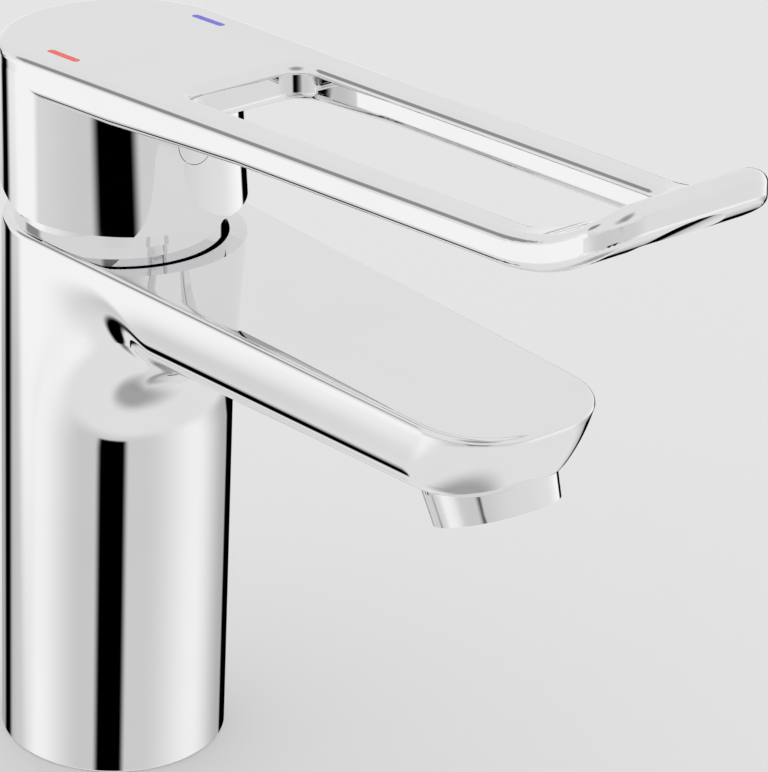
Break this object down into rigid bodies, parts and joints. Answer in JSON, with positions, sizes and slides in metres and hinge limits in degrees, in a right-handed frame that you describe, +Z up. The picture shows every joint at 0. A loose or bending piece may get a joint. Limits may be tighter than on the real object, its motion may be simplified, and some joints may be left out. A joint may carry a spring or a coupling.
{
  "type": "elbow lever tap",
  "caption": "Deck-mounted single-lever basin tap in chrome: a round column, a flat tapering spout with a leaning jet, and a long open elbow-loop lever with an upturned lip.",
  "frame": {"origin": "centre of the column's foot on the deck", "axes": "+Z up the column, -Y along the spout and the lever towards the user, +X to the right as seen from behind the column facing the spout's tip, with hot on -X"},
  "size_m": [0.047, 0.1748, 0.1677],
  "materials": {
    "body_chrome": "polished chrome plate on brass",
    "lever_chrome": "polished chrome plate on zinc",
    "cap_chrome": "polished chrome plate",
    "nozzle_chrome": "polished chrome plate",
    "cover_chrome": "polished chrome plate on plastic",
    "nut_brass": "turned brass",
    "steel": "turned stainless steel",
    "black_rubber": "moulded rubber",
    "disc_ceramic": "lapped ceramic",
    "grey_plastic": "moulded plastic",
    "red_plastic": "moulded plastic",
    "white_plastic": "moulded plastic",
    "hot_red": "enamel, flush with the plate",
    "cold_blue": "enamel, flush with the plate"
  },
  "bodies": {
    "tap": {"tap_body": "body_chrome", "base_gasket": "black_rubber", "base_seals": "black_rubber", "cartridge_base": "grey_plastic", "disc_seals": "black_rubber", "cartridge_housing": "grey_plastic", "housing_seal": "black_rubber", "fixed_disc": "disc_ceramic", "cartridge_nut": "nut_brass", "temperature_stop": "red_plastic", "cartridge_cap": "cap_chrome", "aerator_housing": "nozzle_chrome", "aerator_insert": "white_plastic", "aerator_screen": "steel", "aerator_seal": "black_rubber"},
    "swivel": {"stem_carrier": "grey_plastic", "pivot_pin": "steel"},
    "disc": {"disc_slider": "grey_plastic", "moving_disc": "disc_ceramic"},
    "handle": {"cartridge_stem": "steel", "lever": "lever_chrome", "grub_screw": "steel", "screw_cover": "cover_chrome", "hot_mark": "hot_red", "cold_mark": "cold_blue"}
  },
  "joints": [
    {"name": "lever_swivel", "type": "hinge", "parent": "tap", "child": "swivel", "pos_m": [0, 0, 0.118], "axis": [0, 0, 1], "range_deg": [-50, 50]},
    {"name": "lever_lift", "type": "hinge", "parent": "swivel", "child": "handle", "pos_m": [0, 0, 0.118], "axis": [-1, 0, 0], "range_deg": [0, 25]},
    {"name": "disc_slide", "type": "slide", "parent": "swivel", "child": "disc", "axis": [0, -1, 0], "range_m": [0, 0.00393]}
  ],
  "couplings": [
    {"joint": "disc_slide", "follows": "lever_lift", "m_per_rad": 0.009}
  ]
}
